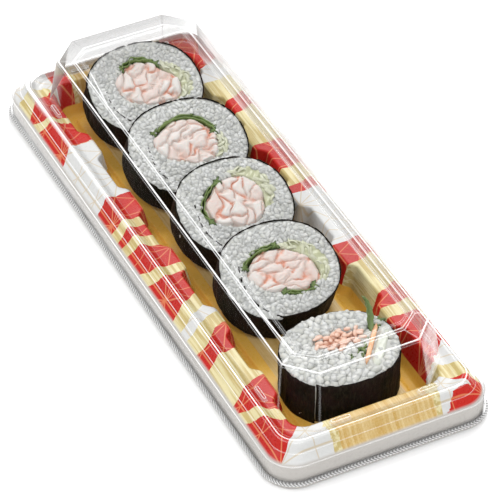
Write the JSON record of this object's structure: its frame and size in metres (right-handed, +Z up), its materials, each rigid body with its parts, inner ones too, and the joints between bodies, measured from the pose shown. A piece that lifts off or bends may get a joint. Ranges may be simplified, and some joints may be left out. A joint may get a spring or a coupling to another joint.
{
  "type": "takeaway sushi tray",
  "caption": "Printed plastic tray holding slices of a thick sushi roll in a row, under a clear, shut lid with an eight-sided dome.",
  "frame": {"origin": "on the surface that the tray stands on, below the middle of the tray", "axes": "+Z up, +Y along the tray towards the end with the first leaning slice, +X to the right when looking along +Y"},
  "size_m": [0.086, 0.236, 0.0346],
  "materials": {
    "tray": "thin printed plastic: red, white and pale gold fields, bamboo pattern on the floor",
    "lid": "thin clear plastic with sharp pressed edges",
    "nori": "roasted seaweed, wrinkled, near black",
    "rice": "cooked rice grains, translucent white",
    "seafood": "pale pink crab and shrimp pieces",
    "leaf": "green lettuce and herb leaf",
    "cabbage": "pale yellow-green shredded cabbage with dressing",
    "carrot": "thin carrot strip",
    "cucumber": "pale cucumber strip"
  },
  "bodies": {
    "root": {"tray": "tray", "lid": "lid", "roll_1_nori": "nori", "roll_1_rice": "rice", "roll_1_seafood": "seafood", "roll_1_leaf": "leaf", "roll_1_cabbage": "cabbage", "roll_2_nori": "nori", "roll_2_rice": "rice", "roll_2_seafood": "seafood", "roll_2_leaf": "leaf", "roll_2_cabbage": "cabbage", "roll_3_nori": "nori", "roll_3_rice": "rice", "roll_3_seafood": "seafood", "roll_3_leaf": "leaf", "roll_3_cabbage": "cabbage", "roll_4_nori": "nori", "roll_4_rice": "rice", "roll_4_seafood": "seafood", "roll_4_leaf": "leaf", "roll_4_cabbage": "cabbage", "roll_4_leaf_low": "leaf", "roll_5_nori": "nori", "roll_5_rice": "rice", "roll_5_seafood": "seafood", "roll_5_leaf": "leaf", "roll_5_carrot": "carrot", "roll_5_cucumber": "cucumber"}
  },
  "joints": []
}
